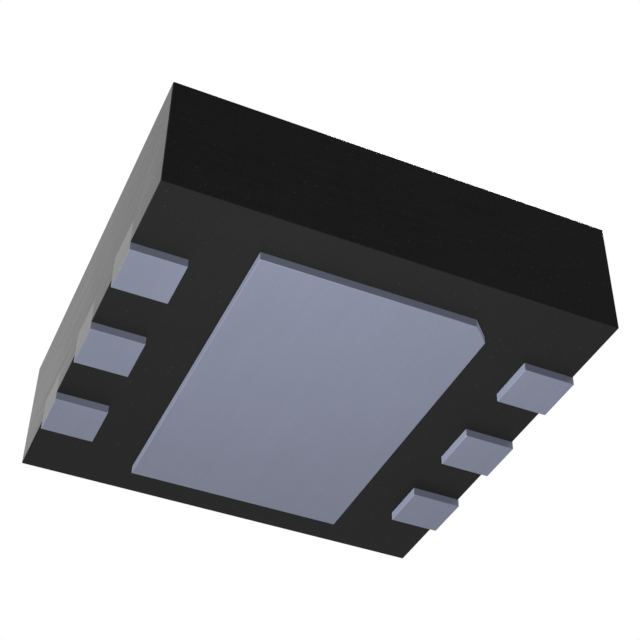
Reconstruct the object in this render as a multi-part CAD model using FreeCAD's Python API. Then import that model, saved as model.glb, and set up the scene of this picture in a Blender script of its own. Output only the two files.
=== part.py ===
# A current sensor chip in a flat square moulded package, in millimetres.
#
# The chip stands on six solder lands and one thermal pad, all etched from one sheet of lead
# frame. A die of silicon is glued on the pad, carries two thin plates that gather the magnetic
# field, and is wired to the lands. A moulded compound wraps all of it, and the walls are sawn.
#
# The origin is the centre of the seating plane, +Z is up, and land 1 is at the corner of -X
# and +Y. The lands are counted anticlockwise from it, seen from above.

import FreeCAD, Part
import math
import os

# Lead frame. Its edges are etched away from below, which leaves ledges that the compound holds
STAND_OFF = 0.05  # the lands and the pad stand this far out of the compound's underside
LEDGE_COVER = 0.05  # compound below the ledges
LEDGE_THICKNESS = 0.10
LOCK_LEDGE = 0.075  # reach of the ledges, past the bare faces
FRAME_GAP = 0.15  # between the ledge of a land and the ledge of the pad

# Lands, the same number along each of two sides
LANDS_PER_SIDE = 3
LAND_PITCH = 0.65
LAND_LENGTH = 0.30
LAND_WIDTH = 0.30
LAND_END_MARGIN = 0.45  # from the last land to the end wall

# Thermal pad, the bare face below the die
PAD_WIDTH = 1.30
PAD_END_MARGIN = 0.25  # from the bare face to the end wall
PAD_CHAMFER = 0.10  # across the corner beside land 1

# Die and the glue below it
DIE_ATTACH_THICKNESS = 0.02
DIE_ATTACH_RIM = 0.03  # glue squeezed out round the die
DIE_THICKNESS = 0.20
DIE_SIDE_MARGIN = 0.225  # pad left bare beside the die
DIE_END_MARGIN = 0.325  # pad left bare past the die's ends

# Plates that gather the field, one each side of the sensing cells
PLATE_THICKNESS = 0.02
PLATE_GAP = 0.06
PLATE_WIDTH = 0.60
PLATE_TIP_WIDTH = 0.20  # at the gap
PLATE_CLEARANCE = 0.109  # from a bonded ball to the plate

# Bond wires, each from a ball on the die to a stitch on its land
WIRE_DIAMETER = 0.025
WIRE_SIDES = 12  # the thin wires are many-sided, which keeps their facets few
BALL_FLARE = 0.0185  # the squashed ball stands out this far round the wire
BALL_BULGE = 0.006  # of the ball's side, past its pressed foot and top
BALL_HEIGHT = 0.016
NECK_HEIGHT = 0.010
BOND_SIDE_INSET = 0.08  # from the die's edge to the ball's middle
BOND_END_INSET = 0.15  # from the die's end to the middle of the last ball
LOOP_HEIGHT = 0.14  # of the wire's line above the die
KNEE_SHARE = 0.35  # of the span, where the loop turns down
KNEE_DROP = 0.008  # from the top of the loop to the knee
NECK_BEND_RADIUS = 0.05
KNEE_BEND_RADIUS = 0.10
BEND_SHARE = 0.45  # of the shorter run, the most that a bend may take
STITCH_INSET = 0.06  # from the land's inner tip to the heel of the stitch
STITCH_LENGTH = 0.07
STITCH_FLARE = 0.014  # of the stitch's width past the wire, each way
STITCH_NOSE = 0.010  # how far the toe is rounded out
STITCH_TOE_THICKNESS = 0.006
HEEL_SHARE = 0.65  # of the wire's diameter, each way from the heel's middle

# Compound
COVER_OVER_LOOPS = 0.1925
PIN_MARK_DIAMETER = 0.30
PIN_MARK_DEPTH = 0.015
PIN_MARK_INSET = 0.40  # from both walls of land 1's corner to the mark's middle

# Worked out from the sizes above
ETCHED_TO = STAND_OFF + LEDGE_COVER
FRAME_THICKNESS = ETCHED_TO + LEDGE_THICKNESS
BODY_WIDTH = PAD_WIDTH + 2 * (LAND_LENGTH + 2 * LOCK_LEDGE + FRAME_GAP)
BODY_LENGTH = (LANDS_PER_SIDE - 1) * LAND_PITCH + LAND_WIDTH + 2 * LAND_END_MARGIN
PAD_LENGTH = BODY_LENGTH - 2 * PAD_END_MARGIN
DIE_WIDTH = PAD_WIDTH + 2 * (LOCK_LEDGE - DIE_SIDE_MARGIN)
DIE_LENGTH = PAD_LENGTH + 2 * (LOCK_LEDGE - DIE_END_MARGIN)
DIE_BASE = FRAME_THICKNESS + DIE_ATTACH_THICKNESS
DIE_TOP = DIE_BASE + DIE_THICKNESS
BALL_RADIUS = WIRE_DIAMETER / 2 + BALL_FLARE
BOND_X = DIE_WIDTH / 2 - BOND_SIDE_INSET
BOND_PITCH = (DIE_LENGTH - 2 * BOND_END_INSET) / max(LANDS_PER_SIDE - 1, 1)
LAND_TIP_X = BODY_WIDTH / 2 - LAND_LENGTH - LOCK_LEDGE
PLATE_OUTER_X = BOND_X - BALL_RADIUS - PLATE_CLEARANCE
LOOP_TOP = DIE_TOP + LOOP_HEIGHT
PACKAGE_HEIGHT = LOOP_TOP + WIRE_DIAMETER / 2 + COVER_OVER_LOOPS
ROWS_EACH_WAY = (LANDS_PER_SIDE - 1) / 2

UP = FreeCAD.Vector(0, 0, 1)


def vector(x, y, z=0.0):
    return FreeCAD.Vector(x, y, z)


def outline(points):
    """A closed wire of straight edges through the points."""
    return Part.makePolygon([*points, points[0]])


def plate(wire, low, high):
    """A solid with a flat outline, from one height to another. The outline lies at height 0."""
    face = Part.Face(wire)
    face.translate(UP * low)
    return face.extrude(UP * (high - low))


def block(width, length, low, high):
    """A box centred on the Z axis."""
    corner = vector(-width / 2, -length / 2, low)
    return Part.makeBox(width, length, high - low, corner)


def land_places():
    """The lands in order: number, side along X (-1 or 1) and row along Y, 0 in the middle."""
    for n in range(LANDS_PER_SIDE):
        yield n + 1, -1, ROWS_EACH_WAY - n
    for n in range(LANDS_PER_SIDE):
        yield LANDS_PER_SIDE + n + 1, 1, n - ROWS_EACH_WAY


def land(side, row):
    """A land: a foot that shows, and the half-etched tip that the compound holds."""
    wall = BODY_WIDTH / 2
    foot = wall - LAND_LENGTH
    profile = [
        (wall, 0),
        (foot, 0),
        (foot, ETCHED_TO),
        (LAND_TIP_X, ETCHED_TO),
        (LAND_TIP_X, FRAME_THICKNESS),
        (wall, FRAME_THICKNESS),
    ]
    near = row * LAND_PITCH - LAND_WIDTH / 2
    face = Part.Face(outline([vector(side * x, near, z) for x, z in profile]))
    return face.extrude(vector(0, LAND_WIDTH, 0))


def pad_outline():
    """The pad's bare face, with the corner beside land 1 cut off."""
    x, y = PAD_WIDTH / 2, PAD_LENGTH / 2
    return outline([
        vector(-x, -y),
        vector(x, -y),
        vector(x, y),
        vector(-x + PAD_CHAMFER, y),
        vector(-x, y - PAD_CHAMFER),
    ])


def thermal_pad():
    """The die paddle: its bare foot, and the half-etched ledge all round."""
    foot = plate(pad_outline(), 0, FRAME_THICKNESS)
    ledge = plate(pad_outline().makeOffset2D(LOCK_LEDGE), ETCHED_TO, FRAME_THICKNESS)
    return foot.fuse(ledge).removeSplitter()


def die_attach():
    """The glue, squeezed out a little past the die on every side."""
    x, y = DIE_WIDTH / 2, DIE_LENGTH / 2
    die = outline([vector(-x, -y), vector(x, -y), vector(x, y), vector(-x, y)])
    return plate(die.makeOffset2D(DIE_ATTACH_RIM), FRAME_THICKNESS, DIE_BASE)


def sensor_die():
    return block(DIE_WIDTH, DIE_LENGTH, DIE_BASE, DIE_TOP)


def flux_concentrator(side):
    """A thin soft-magnetic plate that narrows towards the gap in the middle of the die."""
    near, far = side * PLATE_GAP / 2, side * PLATE_OUTER_X
    shoulder = (near + far) / 2
    tip, half = PLATE_TIP_WIDTH / 2, PLATE_WIDTH / 2
    wire = outline([
        vector(near, -tip),
        vector(shoulder, -half),
        vector(far, -half),
        vector(far, half),
        vector(shoulder, half),
        vector(near, tip),
    ])
    return plate(wire, DIE_TOP, DIE_TOP + PLATE_THICKNESS)


def rounded_path(points, radii):
    """Straight runs through the points, with a tangent arc of about the radius at each corner."""
    edges, start = [], points[0]
    for before, corner, after, radius in zip(points, points[1:], points[2:], radii):
        back, on = before - corner, after - corner
        most = BEND_SHARE * min(back.Length, on.Length)
        back.normalize()
        on.normalize()
        half_angle = back.getAngle(on) / 2
        setback = min(radius / math.tan(half_angle), most)
        first, last = corner + back * setback, corner + on * setback
        from_centre = setback / math.cos(half_angle)
        middle = corner + (back + on).normalize() * (from_centre - setback * math.tan(half_angle))
        edges.append(Part.LineSegment(start, first).toShape())
        edges.append(Part.Arc(first, middle, last).toShape())
        start = last
    edges.append(Part.LineSegment(start, points[-1]).toShape())
    return Part.Wire(edges)


def ring(radius, height):
    """A level many-sided outline round the Z axis."""
    turns = [math.tau * (n + 0.5) / WIRE_SIDES for n in range(WIRE_SIDES)]
    return outline([vector(radius * math.cos(t), radius * math.sin(t), height) for t in turns])


def bond_ball():
    """The squashed ball with its foot at the origin, up to the neck where the wire leaves it."""
    rings = [
        ring(BALL_RADIUS - BALL_BULGE, 0),
        ring(BALL_RADIUS, BALL_HEIGHT / 2),
        ring(BALL_RADIUS - BALL_BULGE, BALL_HEIGHT),
        ring(WIRE_DIAMETER / 2, BALL_HEIGHT + NECK_HEIGHT),
    ]
    return Part.makeLoft(rings, True, True)


def loop(span, heel_height):
    """The wire from the neck of a ball at the origin, up, over and down to the stitch's heel."""
    neck = BALL_HEIGHT + NECK_HEIGHT
    points = [
        vector(0, 0, neck),
        vector(0, 0, LOOP_HEIGHT),
        vector(span * KNEE_SHARE, 0, LOOP_HEIGHT - KNEE_DROP),
        vector(span, 0, heel_height + WIRE_DIAMETER / 2),
    ]
    path = rounded_path(points, [NECK_BEND_RADIUS, KNEE_BEND_RADIUS])
    return path.makePipeShell([ring(WIRE_DIAMETER / 2, neck)], True, False)


def stitch():
    """The flattened end of a wire, lying flat from its heel at the origin along +X."""
    radius = WIRE_DIAMETER / 2
    heel = HEEL_SHARE * WIRE_DIAMETER
    half = radius + STITCH_FLARE
    side_view = Part.Face(outline([
        vector(-heel, -half, 0),
        vector(-heel, -half, WIRE_DIAMETER),
        vector(heel, -half, WIRE_DIAMETER),
        vector(STITCH_LENGTH, -half, STITCH_TOE_THICKNESS),
        vector(STITCH_LENGTH, -half, 0),
    ]))
    shoulder = STITCH_LENGTH - STITCH_NOSE
    left, right = vector(shoulder, half), vector(shoulder, -half)
    heel_left, heel_right = vector(-heel, radius), vector(-heel, -radius)
    plan = Part.Wire([
        Part.LineSegment(heel_right, heel_left).toShape(),
        Part.LineSegment(heel_left, left).toShape(),
        Part.Arc(left, vector(STITCH_LENGTH, 0), right).toShape(),
        Part.LineSegment(right, heel_right).toShape(),
    ])
    return side_view.extrude(vector(0, 2 * half, 0)).common(plate(plan, 0, WIRE_DIAMETER))


def bond_wire(side, row):
    """A wire in one upright plane: ball, loop and stitch."""
    ball_place = vector(side * BOND_X, row * BOND_PITCH, DIE_TOP)
    heel_place = vector(side * (LAND_TIP_X + STITCH_INSET), row * LAND_PITCH, FRAME_THICKNESS)
    run = heel_place - ball_place
    span = math.hypot(run.x, run.y)
    end = stitch()
    end.translate(vector(span, 0, run.z))
    wire = bond_ball().fuse([loop(span, run.z), end]).removeSplitter()
    wire.rotate(vector(0, 0), UP, math.degrees(math.atan2(run.y, run.x)))
    wire.translate(ball_place)
    return wire


def mould_body(held):
    """The compound round all that it holds, with a shallow round mark over land 1's corner."""
    body = block(BODY_WIDTH, BODY_LENGTH, STAND_OFF, PACKAGE_HEIGHT)
    place = vector(
        PIN_MARK_INSET - BODY_WIDTH / 2,
        BODY_LENGTH / 2 - PIN_MARK_INSET,
        PACKAGE_HEIGHT - PIN_MARK_DEPTH,
    )
    mark = Part.makeCylinder(PIN_MARK_DIAMETER / 2, PIN_MARK_DEPTH, place)
    return body.cut([*held, mark])


def main():
    parts = {
        "thermal_pad": thermal_pad(),
        "die_attach": die_attach(),
        "sensor_die": sensor_die(),
        "flux_concentrator_1": flux_concentrator(-1),
        "flux_concentrator_2": flux_concentrator(1),
    }
    for number, side, row in land_places():
        parts[f"land_{number}"] = land(side, row)
        parts[f"bond_wire_{number}"] = bond_wire(side, row)
    parts["mould_body"] = mould_body(list(parts.values()))
    os.makedirs("parts", exist_ok=True)
    for name, shape in parts.items():
        shape.exportStep(f"parts/{name}.step")


main()
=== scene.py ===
"""The looks of a current sensor chip in a flat square moulded package.

Everything is in the frame of the solids: the seating plane is at height 0, +Z is up and land 1 is
at the corner of -X and +Y. The lead frame and the compound are modelled again with the fine edges
that the solids leave out, and the pieces inside keep their solids' own forms.

The chip is so small that its pieces are modelled in millimetres, and each is brought to metres when
its form is done. The studio's places are in millimetres too, and the finishes are in metres.
"""

import logging
import math
from collections.abc import Callable, Sequence
from dataclasses import dataclass, field
from enum import Enum
from functools import cached_property, reduce

import bmesh
import bpy
from mathutils import Matrix, Vector


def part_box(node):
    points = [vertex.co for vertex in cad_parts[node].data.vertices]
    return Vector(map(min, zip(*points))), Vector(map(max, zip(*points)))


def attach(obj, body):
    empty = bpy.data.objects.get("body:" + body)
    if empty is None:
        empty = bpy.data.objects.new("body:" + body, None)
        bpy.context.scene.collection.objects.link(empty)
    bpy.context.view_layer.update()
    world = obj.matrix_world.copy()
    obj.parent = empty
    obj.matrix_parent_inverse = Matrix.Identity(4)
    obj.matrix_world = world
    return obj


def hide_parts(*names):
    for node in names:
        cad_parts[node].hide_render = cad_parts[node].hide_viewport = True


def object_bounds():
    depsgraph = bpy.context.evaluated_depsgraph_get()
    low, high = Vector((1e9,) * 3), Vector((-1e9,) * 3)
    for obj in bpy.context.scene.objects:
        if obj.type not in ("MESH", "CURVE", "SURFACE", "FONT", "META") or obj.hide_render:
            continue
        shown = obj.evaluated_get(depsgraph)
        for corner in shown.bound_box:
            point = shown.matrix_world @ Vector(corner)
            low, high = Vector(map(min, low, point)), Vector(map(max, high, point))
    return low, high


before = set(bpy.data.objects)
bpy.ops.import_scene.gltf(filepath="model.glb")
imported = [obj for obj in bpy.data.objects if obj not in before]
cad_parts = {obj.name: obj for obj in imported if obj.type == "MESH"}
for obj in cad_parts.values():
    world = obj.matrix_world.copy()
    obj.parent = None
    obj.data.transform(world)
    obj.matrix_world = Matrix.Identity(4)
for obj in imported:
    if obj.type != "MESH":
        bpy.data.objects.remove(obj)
CAD_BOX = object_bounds()

MM = 1e-3
MICRON = 1e-6
BODY = "root"

log = logging.getLogger("sensor_chip")

Triple = tuple[float, float, float]
Box = tuple[Vector, Vector]
PairTest = Callable[[Vector, Vector], bool]
Element = bmesh.types.BMFace | bmesh.types.BMEdge
Socket = bpy.types.NodeSocket
Value = Socket | float | Sequence[float]  # a link, or a plain number, vector or colour


class Slot(Enum):
    """The material slots of the record."""

    COMPOUND = "mould_compound"
    TIN = "tinned_lead_frame"
    GLUE = "silver_epoxy"
    SILICON = "silicon"
    ALLOY = "soft_magnetic_alloy"
    GOLD = "gold_wire"


class Across(Enum):
    """How fast parallel marks change along X, Y and Z: in full across them, and little along them."""

    LEVEL = (0.03, 0.03, 1.0)
    FRAME_ROLLED = (1.0, 0.04, 0.04)
    PLATE_GRAIN = (0.05, 1.0, 0.05)


def near(a: float, b: float, slack: float = 0.5e-3) -> bool:
    """Tells whether two lengths in millimetres agree within a slack."""
    return abs(a - b) < slack


def box_mm(node: str) -> Box:
    """Gives a solid's lowest and highest corners in millimetres."""
    low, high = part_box(node)
    return low / MM, high / MM


def numbered(kind: str) -> list[str]:
    """Lists the solids of one kind, such as all lands, in the order of their numbers."""
    return sorted(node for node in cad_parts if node.startswith(kind + "_"))


class Bench:
    """The steps that every piece shares, each as it is done by hand, in millimetres."""

    merge_reach = 1e-4
    flat_within = 0.5  # degrees, within which a solid's triangles are one flat face
    smooth_below = 40.0  # degrees, below which two faces are shaded as one
    flat_weight = 100  # that the largest face counts in full, so flats keep their own normal

    @staticmethod
    def clear() -> None:
        """Leaves edit mode and deselects everything."""
        if bpy.context.object and bpy.context.object.mode != "OBJECT":
            bpy.ops.object.mode_set(mode="OBJECT")
        bpy.ops.object.select_all(action="DESELECT")

    @staticmethod
    def pick(piece: bpy.types.Object) -> None:
        """Makes a piece the only one selected, and the active one.

        Args:
            piece: The piece.
        """
        Bench.clear()
        piece.select_set(True)
        bpy.context.view_layer.objects.active = piece

    @staticmethod
    def edit(piece: bpy.types.Object, mode: str = "FACE") -> None:
        """Opens a piece in edit mode with nothing selected.

        Args:
            piece: The mesh to edit.
            mode: What is selected there: VERT, EDGE or FACE.
        """
        Bench.pick(piece)
        bpy.ops.object.mode_set(mode="EDIT")
        bpy.ops.mesh.select_mode(type=mode)
        bpy.ops.mesh.select_all(action="DESELECT")

    @staticmethod
    def close() -> None:
        """Goes back to object mode."""
        bpy.ops.object.mode_set(mode="OBJECT")

    @staticmethod
    def block(name: str, low: Vector, high: Vector) -> bpy.types.Object:
        """Adds a block between two corners, with its place in its mesh.

        Args:
            name: The piece's name.
            low: The lowest corner.
            high: The highest corner.

        Returns:
            The new piece.
        """
        Bench.clear()
        bpy.ops.mesh.primitive_cube_add(size=1, location=(low + high) / 2)
        piece = bpy.context.object
        piece.name = piece.data.name = name
        piece.scale = high - low
        bpy.ops.object.transform_apply(location=True, rotation=True, scale=True)
        return piece

    @staticmethod
    def copy_of_solid(node: str, name: str) -> bpy.types.Object:
        """Copies a solid's mesh into a new piece and merges its loose triangles into flat faces.

        Args:
            node: The solid's name.
            name: The new piece's name.

        Returns:
            The new piece in millimetres, closed and with its faces outwards.
        """
        piece = bpy.data.objects.new(name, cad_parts[node].data.copy())
        piece.data.name = name
        bpy.context.scene.collection.objects.link(piece)
        Bench.resize(piece, 1 / MM)
        Bench.edit(piece, "VERT")
        bpy.ops.mesh.select_all(action="SELECT")
        bpy.ops.mesh.remove_doubles(threshold=Bench.merge_reach)
        bpy.ops.mesh.dissolve_limited(angle_limit=math.radians(Bench.flat_within))
        Bench.close()
        return piece

    @staticmethod
    def resize(piece: bpy.types.Object, factor: float) -> None:
        """Scales a piece about the origin, in its mesh.

        Args:
            piece: The piece.
            factor: How many times larger it becomes.
        """
        Bench.pick(piece)
        piece.scale = (factor,) * 3
        bpy.ops.object.transform_apply(location=False, rotation=False, scale=True)

    @staticmethod
    def copy_of_piece(piece: bpy.types.Object, name: str) -> bpy.types.Object:
        """Copies a piece with a mesh of its own.

        Args:
            piece: What is copied.
            name: The copy's name.

        Returns:
            The copy.
        """
        copy = piece.copy()
        copy.data = piece.data.copy()
        copy.name = copy.data.name = name
        bpy.context.scene.collection.objects.link(copy)
        return copy

    @staticmethod
    def select_faces(piece: bpy.types.Object, test: PairTest) -> None:
        """Selects only the faces whose centre and normal pass a test."""
        Bench.select(piece, "FACE", lambda face: test(face.calc_center_median(), face.normal))

    @staticmethod
    def select_edges(piece: bpy.types.Object, test: PairTest) -> None:
        """Selects only the edges whose two ends pass a test."""
        Bench.select(piece, "EDGE", lambda edge: test(edge.verts[0].co, edge.verts[1].co))

    @staticmethod
    def select(piece: bpy.types.Object, mode: str, test: Callable[[Element], bool]) -> None:
        """Selects only what passes a test, and warns if that is nothing.

        Args:
            piece: The piece in edit mode.
            mode: What is selected there: EDGE or FACE.
            test: Takes each edge or face.
        """
        bpy.ops.mesh.select_mode(type=mode)
        bpy.ops.mesh.select_all(action="DESELECT")
        mesh = bmesh.from_edit_mesh(piece.data)
        found = [element for element in (mesh.faces if mode == "FACE" else mesh.edges) if test(element)]
        for element in found:
            element.select_set(True)
        bmesh.update_edit_mesh(piece.data)
        if not found:
            log.warning("%s: nothing to select, so the next step shapes nothing", piece.name)

    @staticmethod
    def push(x: float = 0, y: float = 0, z: float = 0) -> None:
        """Extrudes the selected faces by a step."""
        bpy.ops.mesh.extrude_region_move(TRANSFORM_OT_translate={"value": (x, y, z)})

    @staticmethod
    def round_edges(radius: float, segments: int = 3) -> None:
        """Rounds the selected edges, or with one segment cuts them off."""
        bpy.ops.mesh.bevel(offset=radius, offset_type="OFFSET", segments=segments, profile=0.5)

    @staticmethod
    def finish(piece: bpy.types.Object) -> None:
        """Shades a piece smooth over its roundings, keeps flats flat, and brings it to metres.

        Args:
            piece: The piece in millimetres.
        """
        Bench.pick(piece)
        bpy.ops.object.shade_smooth_by_angle(angle=math.radians(Bench.smooth_below))
        weighted = piece.modifiers.new("flats stay flat", "WEIGHTED_NORMAL")
        weighted.weight = Bench.flat_weight
        weighted.keep_sharp = True
        bpy.ops.object.modifier_apply(modifier=weighted.name)
        Bench.resize(piece, MM)


class Nodes:
    """Builds one node tree, with short calls for what every material here needs."""

    def __init__(self, tree: bpy.types.NodeTree) -> None:
        """Takes the tree that the nodes go into."""
        self.tree = tree

    def add(self, kind: str, **settings: object) -> bpy.types.Node:
        """Adds a node and sets its own options.

        Args:
            kind: The node's type, without its first word.
            settings: Options by name, such as operation="ADD".

        Returns:
            The new node.
        """
        node = self.tree.nodes.new("ShaderNode" + kind)
        for name, value in settings.items():
            setattr(node, name, value)
        return node

    def link(self, source: Socket, target: Socket) -> None:
        """Links an output to an input."""
        self.tree.links.new(source, target)

    def feed(self, target: Socket, value: Value) -> None:
        """Gives an input a link or a plain value.

        Args:
            target: The input.
            value: What it is given.
        """
        if isinstance(value, Socket):
            self.link(value, target)
        else:
            target.default_value = value

    def feed_inputs(self, node: bpy.types.Node, **values: Value) -> None:
        """Feeds some of a node's inputs, by name with _ for a space."""
        for label, value in values.items():
            self.feed(node.inputs[label.replace("_", " ")], value)

    def math(self, operation: str, *values: Value) -> Socket:
        """Adds a Math node.

        Args:
            operation: The node's operation.
            values: Its inputs in order.

        Returns:
            The result.
        """
        node = self.add("Math", operation=operation)
        for target, value in zip(node.inputs, values):
            self.feed(target, value)
        return node.outputs[0]

    def times(self, *values: Value) -> Socket:
        """Gives the product of some numbers, or the one that it is given."""
        return reduce(lambda product, value: self.math("MULTIPLY", product, value), values)

    def vector(self, operation: str, *values: Value) -> Socket:
        """Adds a Vector Math node, in which a number stands for a vector of three such parts.

        Args:
            operation: The node's operation.
            values: Its inputs in order.

        Returns:
            The result.
        """
        node = self.add("VectorMath", operation=operation)
        for target, value in zip(node.inputs, values):
            self.feed(target, value)
        return node.outputs[0]

    def remap(self, value: Value, low: float, high: float, to_low: Value, to_high: Value) -> Socket:
        """Maps a number from one range to another, clamped.

        Args:
            value: The number.
            low: The start of its range.
            high: The end of its range.
            to_low: What the start becomes.
            to_high: What the end becomes.

        Returns:
            The mapped number.
        """
        node = self.add("MapRange")
        for target, given in zip(node.inputs, (value, low, high, to_low, to_high)):
            self.feed(target, given)
        return node.outputs[0]

    def swing(self, noise: Socket, middle: float, reach: float, lull: float = 0.3) -> Socket:
        """Maps a noise, from lull to 1 - lull, onto middle - reach to middle + reach."""
        return self.remap(noise, lull, 1 - lull, middle - reach, middle + reach)

    def noise(self, vector: Value, scale: Value, detail: float = 2, roughness: float = 0.5) -> Socket:
        """Adds a Noise texture.

        Args:
            vector: Where it is read.
            scale: How many features there are in a metre.
            detail: Its octaves.
            roughness: The weight of each finer octave.

        Returns:
            The noise, about 0 to 1.
        """
        node = self.add("TexNoise")
        self.feed_inputs(node, Vector=vector, Scale=scale, Detail=detail, Roughness=roughness)
        return node.outputs[0]

    def cells(
        self, vector: Value, scale: Value, **settings: object
    ) -> tuple[bpy.types.Node, list[Socket]]:
        """Adds a Voronoi texture, whose cells each have three numbers of their own.

        Args:
            vector: Where it is read.
            scale: How many cells there are in a metre.
            settings: The node's own options.

        Returns:
            The node, and the three numbers, each 0 to 1.
        """
        node = self.add("TexVoronoi", feature="F1", **settings)
        self.feed_inputs(node, Vector=vector, Scale=scale)
        parts = self.add("SeparateColor")
        self.link(node.outputs["Color"], parts.inputs[0])
        return node, list(parts.outputs)

    def mix(self, share: Value, first: Value, second: Value) -> Socket:
        """Mixes two colours, which a Mix node takes at its inputs 6 and 7 and gives at output 2.

        Args:
            share: How much of the second colour.
            first: The first colour.
            second: The second colour.

        Returns:
            The mixed colour.
        """
        node = self.add("Mix", data_type="RGBA")
        self.feed(node.inputs[0], share)
        self.feed(node.inputs[6], first)
        self.feed(node.inputs[7], second)
        return node.outputs[2]

    def bump(self, height: Socket, depth: float) -> Socket:
        """Turns a height of 0 to 1 into a normal.

        Args:
            height: The height.
            depth: What a height of 1 stands for, in metres.

        Returns:
            The normal.
        """
        node = self.add("Bump")
        self.feed_inputs(node, Distance=depth, Height=height)
        return node.outputs[0]


class SharedEffect:
    """A node group that several materials use, built once."""

    name = ""
    inputs: tuple[tuple[str, str, object], ...] = ()
    outputs: tuple[tuple[str, str], ...] = ()

    @classmethod
    def group(cls) -> bpy.types.NodeTree:
        """Gives the node group, and builds it the first time.

        Returns:
            The group.
        """
        found = bpy.data.node_groups.get(cls.name)
        if found:
            return found
        tree = bpy.data.node_groups.new(cls.name, "ShaderNodeTree")
        for label, kind, start in cls.inputs:
            socket = tree.interface.new_socket(label, in_out="INPUT", socket_type="NodeSocket" + kind)
            socket.default_value = start
        for label, kind in cls.outputs:
            tree.interface.new_socket(label, in_out="OUTPUT", socket_type="NodeSocket" + kind)
        given = tree.nodes.new("NodeGroupInput").outputs
        result = tree.nodes.new("NodeGroupOutput").inputs
        nodes = Nodes(tree)
        for source, target in zip(cls.build(nodes, given), result):
            nodes.link(source, target)
        return tree

    @classmethod
    def build(cls, nodes: Nodes, given: bpy.types.NodeOutputs) -> Sequence[Socket]:
        """Fills the group and gives its outputs in order; each effect has its own."""
        raise NotImplementedError

    @classmethod
    def add_to(cls, nodes: Nodes, **values: Value) -> bpy.types.NodeOutputs:
        """Places the group in a material.

        Args:
            nodes: The material's nodes.
            values: What its inputs are given, by name with _ for a space.

        Returns:
            Its outputs.
        """
        node = nodes.add("Group", node_tree=cls.group())
        nodes.feed_inputs(node, **values)
        return node.outputs


class FillerGrain(SharedEffect):
    """Round grains of a filler in a binder, of two sizes: pale spots and the height they give."""

    name = "filler grain"
    inputs = (
        ("Place", "Vector", (0, 0, 0)),
        ("Grains per metre", "Float", 40000.0),
        ("Share", "Float", 0.3),
    )
    outputs = (("Spots", "Float"), ("Height", "Float"))

    finenesses = (1.0, 2.3)
    least_radius = 0.18  # of a grain, in widths of its cell
    more_radius = 0.25  # that the largest grain has on top
    soft_rim = 0.10
    grain_height = 0.35  # beside the binder's own relief of 1
    binder_fineness = 1.6

    @classmethod
    def build(cls, nodes: Nodes, given: bpy.types.NodeOutputs) -> Sequence[Socket]:
        """Two sizes of cells, each shrunk to a round spot and thinned out at random.

        Args:
            nodes: The group's nodes.
            given: What the group is given.

        Returns:
            The spots and the height.
        """
        spots = []
        for fineness in cls.finenesses:
            scale = nodes.times(given["Grains per metre"], fineness)
            cells, (chance, size, tone) = nodes.cells(given["Place"], scale)
            kept = nodes.math("LESS_THAN", chance, given["Share"])
            radius = nodes.math("MULTIPLY_ADD", size, cls.more_radius, cls.least_radius)
            inside = nodes.math("SUBTRACT", radius, cells.outputs["Distance"])
            spot = nodes.remap(inside, 0.0, cls.soft_rim, 0.0, 1.0)
            spots.append(nodes.times(spot, kept, tone))
        both = nodes.math("MAXIMUM", *spots)
        binder_scale = nodes.times(given["Grains per metre"], cls.binder_fineness)
        binder = nodes.noise(given["Place"], binder_scale, detail=3, roughness=0.6)
        return both, nodes.math("MULTIPLY_ADD", both, cls.grain_height, binder)


class ParallelMarks(SharedEffect):
    """Fine marks side by side, such as a saw's or a rolling mill's."""

    name = "parallel marks"
    inputs = (
        ("Place", "Vector", (0, 0, 0)),
        ("Across", "Vector", (1, 1, 1)),
        ("Marks per metre", "Float", 60000.0),
    )
    outputs = (("Marks", "Float"),)

    bends_per_metre = 900.0
    bend_reach = 8 * MICRON
    coarse_fineness = 0.22
    fine_share = 0.55

    @classmethod
    def build(cls, nodes: Nodes, given: bpy.types.NodeOutputs) -> Sequence[Socket]:
        """Noise that is drawn out along the marks and bends a little, in a fine and a coarse layer.

        Args:
            nodes: The group's nodes.
            given: What the group is given.

        Returns:
            The marks.
        """
        bend = nodes.times(nodes.noise(given["Place"], cls.bends_per_metre, detail=1), cls.bend_reach)
        bent = nodes.vector("ADD", given["Place"], bend)
        drawn = nodes.vector("MULTIPLY", bent, given["Across"])
        fine = nodes.noise(drawn, given["Marks per metre"], roughness=0.6)
        coarse = nodes.noise(drawn, nodes.times(given["Marks per metre"], cls.coarse_fineness))
        coarse_part = nodes.times(coarse, 1 - cls.fine_share)
        return (nodes.math("MULTIPLY_ADD", fine, cls.fine_share, coarse_part),)

    @classmethod
    def lay(cls, nodes: Nodes, place: Socket, across: Across, spacing: float) -> Socket:
        """Places the group with a mean spacing in metres, and gives its marks."""
        return cls.add_to(nodes, Place=place, Across=across.value, Marks_per_metre=1 / spacing)["Marks"]


class Mottle(SharedEffect):
    """Soft clouds that make a surface's tone uneven, about 1 on average."""

    name = "mottle"
    inputs = (
        ("Place", "Vector", (0, 0, 0)),
        ("Clouds per metre", "Float", 3000.0),
        ("Amount", "Float", 0.05),
    )
    outputs = (("Tone", "Float"), ("Clouds", "Float"))

    @classmethod
    def build(cls, nodes: Nodes, given: bpy.types.NodeOutputs) -> Sequence[Socket]:
        """Noise of a few octaves, spread about 1 by the amount.

        Args:
            nodes: The group's nodes.
            given: What the group is given.

        Returns:
            The tone and the clouds.
        """
        clouds = nodes.noise(given["Place"], given["Clouds per metre"], detail=4, roughness=0.6)
        spread = nodes.times(nodes.math("SUBTRACT", clouds, 0.5), given["Amount"])
        return nodes.math("MULTIPLY_ADD", spread, 2.0, 1.0), clouds


@dataclass(frozen=True)
class Pattern:
    """What a finish gives at each place of a surface."""

    colour: Socket
    roughness: Socket
    height: Socket | None = None  # of 0 to 1, in depths of the finish's relief


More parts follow.
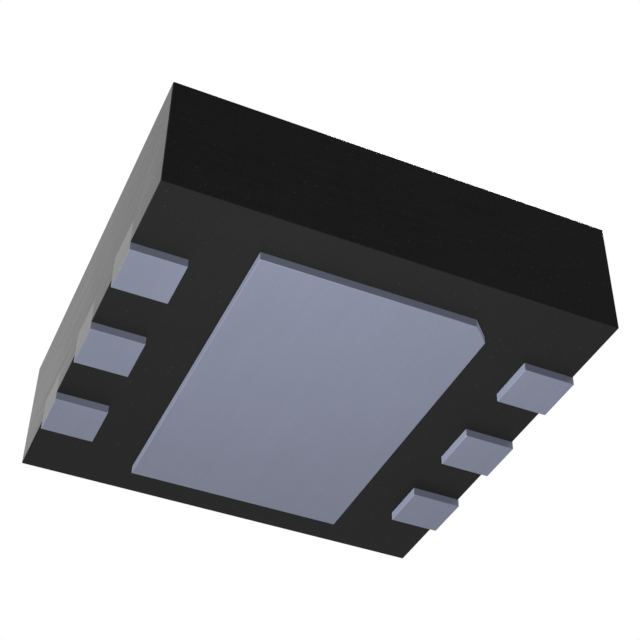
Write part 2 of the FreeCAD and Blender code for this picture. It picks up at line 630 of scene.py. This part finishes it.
@dataclass(frozen=True)
class Finish:
    """What every finish has: a name, a colour and a roughness, and a material built from them."""

    name: str
    colour: Triple
    roughness: float
    metallic: float = 0.0
    specular: float = 0.5
    relief: float = 0.0

    def material(self) -> bpy.types.Material:
        """Gives the finish's material, and builds it the first time.

        Returns:
            The material.
        """
        found = bpy.data.materials.get(self.name)
        if found:
            return found
        made = bpy.data.materials.new(self.name)
        made.use_nodes = True
        made.diffuse_color = (*self.colour, 1)
        nodes = Nodes(made.node_tree)
        shader = made.node_tree.nodes["Principled BSDF"]
        pattern = self.pattern(nodes, nodes.add("TexCoord").outputs["Object"])
        nodes.feed_inputs(shader, Base_Color=pattern.colour, Roughness=pattern.roughness)
        nodes.feed_inputs(shader, Metallic=self.metallic, Specular_IOR_Level=self.specular)
        if pattern.height is not None:
            nodes.feed_inputs(shader, Normal=nodes.bump(pattern.height, self.relief))
        return made

    def pattern(self, nodes: Nodes, place: Socket) -> Pattern:
        """Builds what changes over the surface; each finish has its own."""
        raise NotImplementedError

    def tinted(self, nodes: Nodes, *tones: Value) -> Socket:
        """Gives the finish's colour times some tones, which are numbers about 1."""
        return nodes.vector("MULTIPLY", self.colour, nodes.times(*tones))


@dataclass(frozen=True)
class CloudedFinish(Finish):
    """A finish whose tone is uneven in soft clouds."""

    clouds_per_metre: float = 2400.0
    cloud_strength: float = 0.05
    gloss_reach: float = 0.06

    def clouds(self, nodes: Nodes, place: Socket) -> bpy.types.NodeOutputs:
        """Places the clouds, and gives their tone and the clouds themselves."""
        return Mottle.add_to(
            nodes, Place=place, Clouds_per_metre=self.clouds_per_metre, Amount=self.cloud_strength
        )

    def glossy(self, nodes: Nodes, noise: Socket) -> Socket:
        """Gives the finish's roughness, made uneven by a noise."""
        return nodes.swing(noise, self.roughness, self.gloss_reach)


@dataclass(frozen=True)
class FilledCompound(CloudedFinish):
    """The black compound, and what its moulded and its sawn faces share: the grains of its filler."""

    grain: float = 24 * MICRON
    grain_share: float = 0.25
    grain_strength: float = 0.30
    grain_colour: Triple = (0.05, 0.05, 0.05)

    def fill(self, nodes: Nodes, place: Socket, binder: Socket) -> tuple[Socket, Socket]:
        """Lays the filler's pale grains over the binder.

        Args:
            nodes: The material's nodes.
            place: The place on the piece.
            binder: The binder's colour.

        Returns:
            The colour and the height that grains and binder have together.
        """
        grain = FillerGrain.add_to(
            nodes, Place=place, Grains_per_metre=1 / self.grain, Share=self.grain_share
        )
        pale = nodes.times(grain["Spots"], self.grain_strength)
        return nodes.mix(pale, binder, (*self.grain_colour, 1)), grain["Height"]


@dataclass(frozen=True)
class MouldedCompound(FilledCompound):
    """The compound as the mould leaves it: matt and black, with a skin of binder over its filler."""

    clouds_per_metre: float = 2600.0
    cloud_strength: float = 0.10
    gloss_reach: float = 0.04
    relief: float = 0.8 * MICRON

    def pattern(self, nodes: Nodes, place: Socket) -> Pattern:
        """Faint pale grains below the skin, an uneven tone and the fine relief of the mould.

        Args:
            nodes: The material's nodes.
            place: The place on the piece.

        Returns:
            The pattern.
        """
        clouds = self.clouds(nodes, place)
        colour, height = self.fill(nodes, place, self.tinted(nodes, clouds["Tone"]))
        return Pattern(colour, self.glossy(nodes, clouds["Clouds"]), height)


@dataclass(frozen=True)
class SawnCompound(FilledCompound):
    """The compound where the saw went through: cut grains show, with fine marks along the wall."""

    grain_share: float = 0.4
    grain_strength: float = 0.35
    clouds_per_metre: float = 2200.0
    cloud_strength: float = 0.12
    mark_spacing: float = 9 * MICRON
    mark_tone: float = 0.15
    mark_height: float = 0.6  # beside the compound's own relief of 1
    relief: float = 0.5 * MICRON

    def pattern(self, nodes: Nodes, place: Socket) -> Pattern:
        """Cut grains, and marks that run level along each wall.

        Args:
            nodes: The material's nodes.
            place: The place on the piece.

        Returns:
            The pattern.
        """
        marks = ParallelMarks.lay(nodes, place, Across.LEVEL, self.mark_spacing)
        mark_tone = nodes.swing(marks, 1, self.mark_tone)
        binder = self.tinted(nodes, self.clouds(nodes, place)["Tone"], mark_tone)
        colour, height = self.fill(nodes, place, binder)
        height = nodes.math("MULTIPLY_ADD", marks, self.mark_height, height)
        return Pattern(colour, self.glossy(nodes, marks), height)


@dataclass(frozen=True)
class MattTin(CloudedFinish):
    """Matt tin plating over rolled copper: fine crystals, and faint lines the way it was rolled."""

    crystal: float = 7 * MICRON
    crystal_tone: float = 0.05
    across: Across = Across.FRAME_ROLLED
    line_spacing: float = 12 * MICRON
    line_tone: float = 0.02
    line_lull: float = 0.35
    line_height: float = 0.5  # beside the crystals' own relief of 1
    relief: float = 0.5 * MICRON

    def pattern(self, nodes: Nodes, place: Socket) -> Pattern:
        """Crystals in tone, gloss and relief, rolling lines in tone and relief, and soft clouds.

        Args:
            nodes: The material's nodes.
            place: The place on the piece.

        Returns:
            The pattern.
        """
        lines = ParallelMarks.lay(nodes, place, self.across, self.line_spacing)
        crystals = nodes.noise(place, 1 / self.crystal, roughness=0.7)
        line_tone = nodes.swing(lines, 1, self.line_tone, self.line_lull)
        sparkle = nodes.swing(crystals, 1, self.crystal_tone)
        colour = self.tinted(nodes, self.clouds(nodes, place)["Tone"], line_tone, sparkle)
        height = nodes.math("MULTIPLY_ADD", lines, self.line_height, crystals)
        return Pattern(colour, self.glossy(nodes, crystals), height)


@dataclass(frozen=True)
class FlakeGlue(Finish):
    """Epoxy filled with silver flakes."""

    flake: float = 12 * MICRON
    dull_tone: float = 0.55
    bright_tone: float = 1.15
    least_roughness: float = 0.25
    relief: float = 1.5 * MICRON

    def pattern(self, nodes: Nodes, place: Socket) -> Pattern:
        """Flakes that differ in tone, gloss and height.

        Args:
            nodes: The material's nodes.
            place: The place on the piece.

        Returns:
            The pattern.
        """
        _, (tone, gloss, height) = nodes.cells(place, 1 / self.flake)
        colour = self.tinted(nodes, nodes.remap(tone, 0.0, 1.0, self.dull_tone, self.bright_tone))
        roughness = nodes.remap(gloss, 0.0, 1.0, self.least_roughness, self.roughness)
        return Pattern(colour, roughness, height)


@dataclass(frozen=True)
class PlatedAlloy(CloudedFinish):
    """A thin plate of soft-magnetic alloy, with the fine grain that plating in a field leaves."""

    clouds_per_metre: float = 9000.0
    cloud_strength: float = 0.08
    line_spacing: float = 6 * MICRON
    line_tone: float = 0.1
    gloss_reach: float = 0.08
    relief: float = 0.3 * MICRON

    def pattern(self, nodes: Nodes, place: Socket) -> Pattern:
        """Fine lines the way the field runs and an uneven tone.

        Args:
            nodes: The material's nodes.
            place: The place on the piece.

        Returns:
            The pattern.
        """
        lines = ParallelMarks.lay(nodes, place, Across.PLATE_GRAIN, self.line_spacing)
        line_tone = nodes.swing(lines, 1, self.line_tone)
        colour = self.tinted(nodes, self.clouds(nodes, place)["Tone"], line_tone)
        return Pattern(colour, self.glossy(nodes, lines), lines)


@dataclass(frozen=True)
class DrawnGold(CloudedFinish):
    """Drawn gold wire, bright with a slight unevenness."""

    clouds_per_metre: float = 60000.0
    cloud_strength: float = 0.08
    gloss_reach: float = 0.065
    relief: float = 0.15 * MICRON

    def pattern(self, nodes: Nodes, place: Socket) -> Pattern:
        """An uneven tone, and a fine relief that differs in gloss."""
        tone, clouds = self.clouds(nodes, place)
        return Pattern(self.tinted(nodes, tone), self.glossy(nodes, clouds), clouds)


@dataclass(frozen=True)
class EtchedSilicon(Finish):
    """The chip's passivated face: blocks of fine circuit below a clear glassy layer."""

    block_colour: Triple = (0.10, 0.13, 0.16)
    block_size: float = 90 * MICRON
    block_looseness: float = 0.7
    bare_share: float = 0.35  # of the blocks, which have no lines
    line_colour: Triple = (0.22, 0.24, 0.26)
    line_width: float = 9 * MICRON
    line_length: float = 4.0  # in widths of a line
    line_gap: float = 0.15  # in widths of a line
    gap_softness: float = 0.1
    line_roughness: float = 0.15  # on top of the silicon's own

    def pattern(self, nodes: Nodes, place: Socket) -> Pattern:
        """Blocks of differing tones with rows of fine lines, on the plain silicon.

        Args:
            nodes: The material's nodes.
            place: The place on the piece.

        Returns:
            The pattern.
        """
        blocks, (tone, chance, _) = nodes.cells(place, 1 / self.block_size, distance="CHEBYCHEV")
        nodes.feed_inputs(blocks, Randomness=self.block_looseness)
        base = nodes.mix(tone, (*self.colour, 1), (*self.block_colour, 1))
        rows = nodes.add("TexBrick")
        nodes.feed_inputs(
            rows,
            Vector=place,
            Scale=1.0,
            Brick_Width=self.line_length * self.line_width,
            Row_Height=self.line_width,
            Mortar_Size=self.line_gap * self.line_width,
            Mortar_Smooth=self.gap_softness,
        )
        filled = nodes.math("GREATER_THAN", chance, self.bare_share)
        lined = nodes.times(rows.outputs["Fac"], filled)
        colour = nodes.mix(lined, base, (*self.line_colour, 1))
        lined_roughness = self.roughness + self.line_roughness
        return Pattern(colour, nodes.remap(lined, 0.0, 1.0, self.roughness, lined_roughness))


MOULDED_COLOUR: Triple = (0.0215, 0.0215, 0.0215)
MARK_COLOUR: Triple = (0.024, 0.024, 0.024)
SAWN_COLOUR: Triple = (0.0163, 0.0163, 0.0163)
TIN_COLOUR: Triple = (0.247, 0.268, 0.358)
SAWN_TIN_COLOUR: Triple = (0.158, 0.154, 0.158)
GLUE_COLOUR: Triple = (0.55, 0.55, 0.57)
SILICON_COLOUR: Triple = (0.055, 0.065, 0.085)
ALLOY_COLOUR: Triple = (0.60, 0.58, 0.52)
GOLD_COLOUR: Triple = (0.90, 0.62, 0.22)

MOULDED = MouldedCompound("moulded compound", MOULDED_COLOUR, roughness=0.5, specular=0.03)
MARKED = MouldedCompound(
    "moulded mark", MARK_COLOUR, roughness=0.36, specular=0.1, relief=0.3 * MICRON
)
SAWN = SawnCompound("sawn compound", SAWN_COLOUR, roughness=0.18, specular=0.02)
TIN = MattTin("matt tin", TIN_COLOUR, roughness=0.42, metallic=0.15, specular=0.1)
SAWN_TIN = MattTin(
    "sawn tin",
    SAWN_TIN_COLOUR,
    roughness=0.45,
    metallic=0.15,
    specular=0.05,
    across=Across.LEVEL,
    line_tone=0.09,
)
GLUE = FlakeGlue("silver epoxy", GLUE_COLOUR, roughness=0.55, metallic=0.8)
SILICON = EtchedSilicon("silicon", SILICON_COLOUR, roughness=0.12)
ALLOY = PlatedAlloy("soft magnetic alloy", ALLOY_COLOUR, roughness=0.35, metallic=1.0)
GOLD = DrawnGold("gold wire", GOLD_COLOUR, roughness=0.235, metallic=1.0)


@dataclass
class SubAssembly:
    """What every sub-assembly does with a piece that it has made."""

    pieces: list[bpy.types.Object] = field(default_factory=list)

    def seat(self, piece: bpy.types.Object, slot: Slot, *nodes: str) -> None:
        """Puts a new piece on the body, in place of its solids, and reports it.

        Args:
            piece: The finished piece.
            slot: Not used.
            nodes: The solids that it stands for.
        """
        Bench.clear()
        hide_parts(*nodes)
        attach(piece, BODY)
        self.pieces.append(piece)
        log.info("%s: %d faces, in place of %s", piece.name, len(piece.data.polygons), ", ".join(nodes))

    def paint_solid(self, node: str, slot: Slot, finish: Finish) -> None:
        """Gives a solid that stays as it is a better finish.

        Args:
            node: The solid's name.
            slot: Not used.
            finish: The finish.
        """
        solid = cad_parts[node]
        for place in solid.material_slots:
            place.material = finish.material()
        self.pieces.append(solid)
        log.info("%s: solid kept, finish %s", node, finish.name)

    @staticmethod
    def paint(
        piece: bpy.types.Object,
        finishes: Sequence[Finish],
        pick: Callable[[Vector, Vector], Finish] | None = None,
    ) -> None:
        """Gives a piece one finish all over, or several, face by face.

        Args:
            piece: The piece.
            finishes: Its finishes.
            pick: Takes a face's centre and normal and gives its finish. Without it, all faces
                have the first one.
        """
        piece.data.materials.clear()
        for finish in finishes:
            piece.data.materials.append(finish.material())
        for face in piece.data.polygons:
            face.material_index = finishes.index(pick(face.center, face.normal)) if pick else 0


@dataclass
class LeadFrame(SubAssembly):
    """The etched copper: six solder lands and the thermal pad, tinned where they show.

    The ledges that hold them in the compound lie above the height that the etching reached.
    """

    ledge: float = 0.075
    etched_to: float = 0.10
    pad_chamfer: float = 0.10
    chamfer_reach: float = 0.20  # from the pad's corner, within which an edge is at its cut
    edge_radius: float = 0.004
    corner_segments: int = 8
    facing: float = 0.9  # of a normal's length, past which a face looks along an axis

    @cached_property
    def land_box(self) -> Box:
        """The corners of the first land on the +X side."""
        return next(box for box in map(box_mm, numbered("land")) if box[0].x > 0)

    @cached_property
    def pad_box(self) -> Box:
        """The corners of the thermal pad."""
        return box_mm("thermal_pad")

    def build(self) -> None:
        """Builds the lands and the pad."""
        self.build_lands()
        self.build_pad()

    def build_lands(self) -> None:
        """Models one land and copies it to each land's place."""
        pattern = self.model_land()
        for node in numbered("land"):
            low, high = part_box(node)
            piece = Bench.copy_of_piece(pattern, "finished_" + node)
            if low.x < 0:
                piece.data.transform(Matrix.Rotation(math.pi, 4, "Z"))
            piece.data.transform(Matrix.Translation((0, (low.y + high.y) / 2, 0)))
            self.seat(piece, Slot.TIN, node)
        bpy.data.objects.remove(pattern)

    def model_land(self) -> bpy.types.Object:
        """Models a land on the +X side, in the middle of its row.

        Returns:
            The pattern that the lands are copied from, in metres.
        """
        low, high = self.land_box
        half = (high.y - low.y) / 2
        foot_low = Vector((low.x + self.ledge, -half, low.z))
        piece = Bench.block("land_pattern", foot_low, Vector((high.x, half, high.z)))
        Bench.edit(piece)
        bpy.ops.mesh.select_all(action="SELECT")
        bpy.ops.mesh.bisect(plane_co=(0, 0, self.etched_to), plane_no=(0, 0, 1))
        Bench.select_faces(piece, self.inner_end)
        Bench.push(x=-self.ledge)
        self.round_bottom(piece, low.z)
        Bench.close()
        self.paint(piece, (TIN, SAWN_TIN), self.land_finish)
        Bench.finish(piece)
        return piece

    def inner_end(self, centre: Vector, normal: Vector) -> bool:
        """Tells whether a face is where the land's ledge goes on inwards."""
        return normal.x < -self.facing and centre.z > self.etched_to

    def land_finish(self, centre: Vector, _: Vector) -> Finish:
        """Gives the finish of a land's face, which differs where the saw cut its outer end."""
        return SAWN_TIN if near(centre.x, self.land_box[1].x) else TIN

    def round_bottom(self, piece: bpy.types.Object, height: float) -> None:
        """Rounds the edges round a piece's lowest face."""
        Bench.select_edges(piece, lambda a, b: near(a.z, height) and near(b.z, height))
        Bench.round_edges(self.edge_radius)

    def build_pad(self) -> None:
        """Models the pad from its ledge down: a plate, inset and pushed out to its foot, then rounded.

        An even inset makes the cut at a corner smaller, so the ledge's cut is larger than the
        foot's. All the ledge's corners have its own width as their radius, which takes less off
        a side where it turns by an eighth, beside the cut, than where it turns by a quarter.
        """
        low, high = self.pad_box
        piece = Bench.block("finished_thermal_pad", Vector((low.x, low.y, self.etched_to)), high)
        Bench.edit(piece)
        Bench.select_edges(piece, self.at_cut)
        Bench.round_edges(self.pad_chamfer + self.ledge * (2 - math.sqrt(2)), 1)
        Bench.select_faces(piece, lambda _, normal: normal.z < -self.facing)
        bpy.ops.mesh.inset(thickness=self.ledge, use_even_offset=True)
        Bench.push(z=low.z - self.etched_to)
        Bench.select_edges(piece, lambda a, b: self.on_rim(a, b) and not self.at_cut(a, b))
        Bench.round_edges(self.ledge, self.corner_segments)
        Bench.select_edges(piece, self.at_cut)
        Bench.round_edges(self.ledge * math.tan(math.pi / 8), self.corner_segments // 2)
        self.round_bottom(piece, low.z)
        Bench.close()
        self.paint(piece, (TIN,))
        Bench.finish(piece)
        self.seat(piece, Slot.TIN, "thermal_pad")

    def on_rim(self, a: Vector, b: Vector) -> bool:
        """Tells whether an edge stands upright at the outside of the pad's ledge.

        Args:
            a: One end of the edge.
            b: Its other end.

        Returns:
            Whether it does.
        """
        high = self.pad_box[1]
        upright = near(a.x, b.x) and near(a.y, b.y) and not near(a.z, b.z)
        return upright and (near(abs(a.x), high.x) or near(abs(a.y), high.y))

    def at_cut(self, a: Vector, b: Vector) -> bool:
        """Tells whether an edge on that rim is at the pad's cut corner, beside land 1."""
        low, high = self.pad_box
        return self.on_rim(a, b) and max(a.x - low.x, high.y - a.y) < self.chamfer_reach


@dataclass
class MouldedBlock(SubAssembly):
    """The compound round everything, with its sharp edges taken off as the saw and mould do."""

    edge_radius: float = 0.006
    mark_edge_radius: float = 0.003
    mark_depth: float = 0.015
    mark_facet: float = 0.10  # the rim's edges are shorter than this
    facing: float = 0.7  # of a normal's length, past which a face looks along an axis

    @cached_property
    def box(self) -> Box:
        """The corners of the block."""
        return box_mm("mould_body")

    def build(self) -> None:
        """Copies the solid, rounds its outer edges and the mark's rim, and dresses its faces."""
        piece = Bench.copy_of_solid("mould_body", "finished_mould_body")
        Bench.edit(piece)
        Bench.select_edges(piece, self.outer)
        Bench.round_edges(self.edge_radius)
        Bench.select_edges(piece, self.rim)
        Bench.round_edges(self.mark_edge_radius)
        Bench.close()
        self.paint(piece, (MOULDED, SAWN, MARKED), self.face_finish)
        Bench.finish(piece)
        self.seat(piece, Slot.COMPOUND, "mould_body")

    def sides_touched(self, place: Vector) -> set[str]:
        """Names the sides of the block that a place lies on, such as x- and z+."""
        return {
            axis + end
            for number, axis in enumerate("xyz")
            for end, corner in zip("-+", self.box)
            if near(place[number], corner[number])
        }

    def outer(self, a: Vector, b: Vector) -> bool:
        """Tells whether an edge is an outer one of the block, where two of its sides meet."""
        return len(self.sides_touched(a) & self.sides_touched(b)) >= 2

    def rim(self, a: Vector, b: Vector) -> bool:
        """Tells whether an edge belongs to the rim of the mark on the top.

        Args:
            a: One end of the edge.
            b: Its other end.

        Returns:
            Whether it does.
        """
        high = self.box[1]
        level = near(a.z, high.z) and near(b.z, high.z)
        inside = max(abs(a.x), abs(a.y), abs(b.x), abs(b.y)) < high.x - self.mark_facet
        return level and inside and (a - b).length < self.mark_facet

    def face_finish(self, centre: Vector, normal: Vector) -> Finish:
        """Tells moulded, sawn and marked faces apart.

        Args:
            centre: The face's centre.
            normal: Its normal.

        Returns:
            The face's finish.
        """
        high = self.box[1]
        if near(centre.z, high.z - self.mark_depth) and normal.z > self.facing:
            return MARKED
        upright = max(abs(normal.x), abs(normal.y)) > self.facing
        outside = max(abs(centre.x), abs(centre.y)) > high.x - 2 * self.edge_radius
        return SAWN if upright and outside else MOULDED


@dataclass
class Inside(SubAssembly):
    """What the compound hides: the die on its glue, the plates that gather the field, the wires."""

    def build(self) -> None:
        """Dresses the solids and smooths the wires."""
        self.paint_solid("die_attach", Slot.GLUE, GLUE)
        self.paint_solid("sensor_die", Slot.SILICON, SILICON)
        for node in numbered("flux_concentrator"):
            self.paint_solid(node, Slot.ALLOY, ALLOY)
        for node in numbered("bond_wire"):
            piece = Bench.copy_of_solid(node, "finished_" + node)
            self.paint(piece, (GOLD,))
            Bench.finish(piece)
            self.seat(piece, Slot.GOLD, node)


@dataclass
class Lamp:
    """A lamp that shines at the chip from a place in millimetres.

    A near lamp is a soft square whose light falls off over the chip. A far one has no size, and
    its place only gives where its light comes from.
    """

    name: str
    place: Triple
    level: float  # of light that it gives at the chip: 1 makes a facing white surface white
    size: float = 0
    softness: float = 20  # of a far lamp, in degrees
    shadows: bool = True  # a fill lamp has none, so the pad doesn't darken what is beside it

    def build(self, target: Vector) -> None:
        """Adds the lamp, turned to a target and as strong as its distance asks.

        A white surface shows the light that it gets divided by pi. The light that it gets from
        a near lamp is the lamp's power divided by pi and by the squared distance.

        Args:
            target: What the lamp shines at, in metres.
        """
        ray = target - Vector(self.place) * MM
        data = bpy.data.lights.new(self.name, "AREA" if self.size else "SUN")
        if self.size:
            data.shape = "SQUARE"
            data.size = self.size * MM
            data.energy = self.level * math.pi**2 * ray.length_squared
        else:
            data.angle = math.radians(self.softness)
            data.energy = self.level * math.pi
        data.use_shadow = self.shadows
        lamp = bpy.data.objects.new(self.name, data)
        lamp.location = target - ray
        lamp.rotation_mode = "QUATERNION"
        lamp.rotation_quaternion = ray.to_track_quat("-Z", "Y")
        lamp.visible_camera = False
        bpy.context.scene.collection.objects.link(lamp)


@dataclass
class Studio:
    """The floor, the lamps, the world and the camera, none of which is part of the chip.

    Places and distances are in millimetres, and angles in degrees.
    """

    floor_gap: float = 0.005
    floor_size: float = 400
    floor_colour: Triple = (0.86, 0.86, 0.86)
    floor_roughness: float = 0.9
    floor_specular: float = 0.1
    ambient: float = 0.15
    camera_place: Triple = (2.3208, 5.6297, -4.6557)
    camera_azimuth: float = 156.701
    camera_elevation: float = -41.011
    camera_roll: float = 1.021
    lens: float = 78.27
    sensor_width: float = 36
    nearest_seen: float = 0.1
    farthest_seen: float = 1000
    lamps: tuple[Lamp, ...] = (
        Lamp("key_below", (0.75, 2.0, -3.0), 0.49, size=2.0),
        Lamp("side_below", (10.0, 0.4, -1.5), 1.05, shadows=False),
        Lamp("far_side", (-10.0, 0.0, 0.0), 0.8, softness=5, shadows=False),
        Lamp("key_above", (-3.5, -3.5, 7.0), 0.65),
        Lamp("side_above", (6.0, -2.0, 5.0), 0.12),
    )

    def build(self) -> None:
        """Builds all of it and sets how colours are shown."""
        bpy.context.scene.view_settings.view_transform = "Standard"
        self.build_world()
        self.build_floor()
        low, high = CAD_BOX
        for lamp in self.lamps:
            lamp.build((low + high) / 2)
        self.build_camera()

    def build_world(self) -> None:
        """Makes a world that is white to look at and dimmer as a light."""
        world = bpy.data.worlds.new("studio")
        world.use_nodes = True
        bpy.context.scene.world = world
        nodes = Nodes(world.node_tree)
        path = nodes.add("LightPath").outputs
        seen = nodes.math("MAXIMUM", path["Is Camera Ray"], path["Is Glossy Ray"])
        seen = nodes.math("MAXIMUM", seen, path["Is Transmission Ray"])
        strength = nodes.remap(seen, 0.0, 1.0, self.ambient, 1.0)
        nodes.feed_inputs(world.node_tree.nodes["Background"], Color=(1, 1, 1, 1), Strength=strength)

    def build_floor(self) -> None:
        """Makes a pale floor that shows from above, with the chip's shadow, and not from below."""
        height = CAD_BOX[0].z - self.floor_gap * MM
        Bench.clear()
        bpy.ops.mesh.primitive_plane_add(size=self.floor_size * MM, location=(0, 0, height))
        floor = bpy.context.object
        floor.name = "floor"
        floor.data.materials.append(self.floor_material())
        floor.visible_diffuse = False
        floor.visible_glossy = False
        floor.visible_transmission = False
        floor.visible_shadow = False

    def floor_material(self) -> bpy.types.Material:
        """Makes a plain matt material that is clear from behind.

        Returns:
            The material.
        """
        made = bpy.data.materials.new("pale floor")
        made.use_nodes = True
        nodes = Nodes(made.node_tree)
        shader = made.node_tree.nodes["Principled BSDF"]
        nodes.feed_inputs(shader, Base_Color=(*self.floor_colour, 1), Roughness=self.floor_roughness)
        nodes.feed_inputs(shader, Specular_IOR_Level=self.floor_specular)
        clear = nodes.add("BsdfTransparent")
        either = nodes.add("MixShader")
        nodes.link(nodes.add("NewGeometry").outputs["Backfacing"], either.inputs[0])
        nodes.link(shader.outputs[0], either.inputs[1])
        nodes.link(clear.outputs[0], either.inputs[2])
        nodes.link(either.outputs[0], made.node_tree.nodes["Material Output"].inputs["Surface"])
        return made

    def build_camera(self) -> None:
        """Looks at the underside from the place that the photograph was taken from."""
        data = bpy.data.cameras.new("camera")
        data.lens = self.lens
        data.sensor_width = self.sensor_width
        data.clip_start = self.nearest_seen * MM
        data.clip_end = self.farthest_seen * MM
        camera = bpy.data.objects.new("camera", data)
        azimuth, elevation = math.radians(self.camera_azimuth), math.radians(self.camera_elevation)
        back = Vector((
            math.sin(azimuth) * math.cos(elevation),
            -math.cos(azimuth) * math.cos(elevation),
            math.sin(elevation),
        ))
        camera.location = Vector(self.camera_place) * MM
        camera.rotation_mode = "QUATERNION"
        turn = (-back).to_track_quat("-Z", "Y")
        turn.rotate(Matrix.Rotation(math.radians(self.camera_roll), 3, back).to_quaternion())
        camera.rotation_quaternion = turn
        bpy.context.scene.collection.objects.link(camera)
        bpy.context.scene.camera = camera


def main() -> None:
    """Builds the chip's sub-assemblies in order, then the studio."""
    logging.basicConfig(level=logging.INFO, format="%(name)s %(message)s")
    for part in (MouldedBlock(), LeadFrame(), Inside()):
        part.build()
        log.info("%s: %d pieces", type(part).__name__, len(part.pieces))
    Studio().build()


if __name__ == "__main__":
    main()
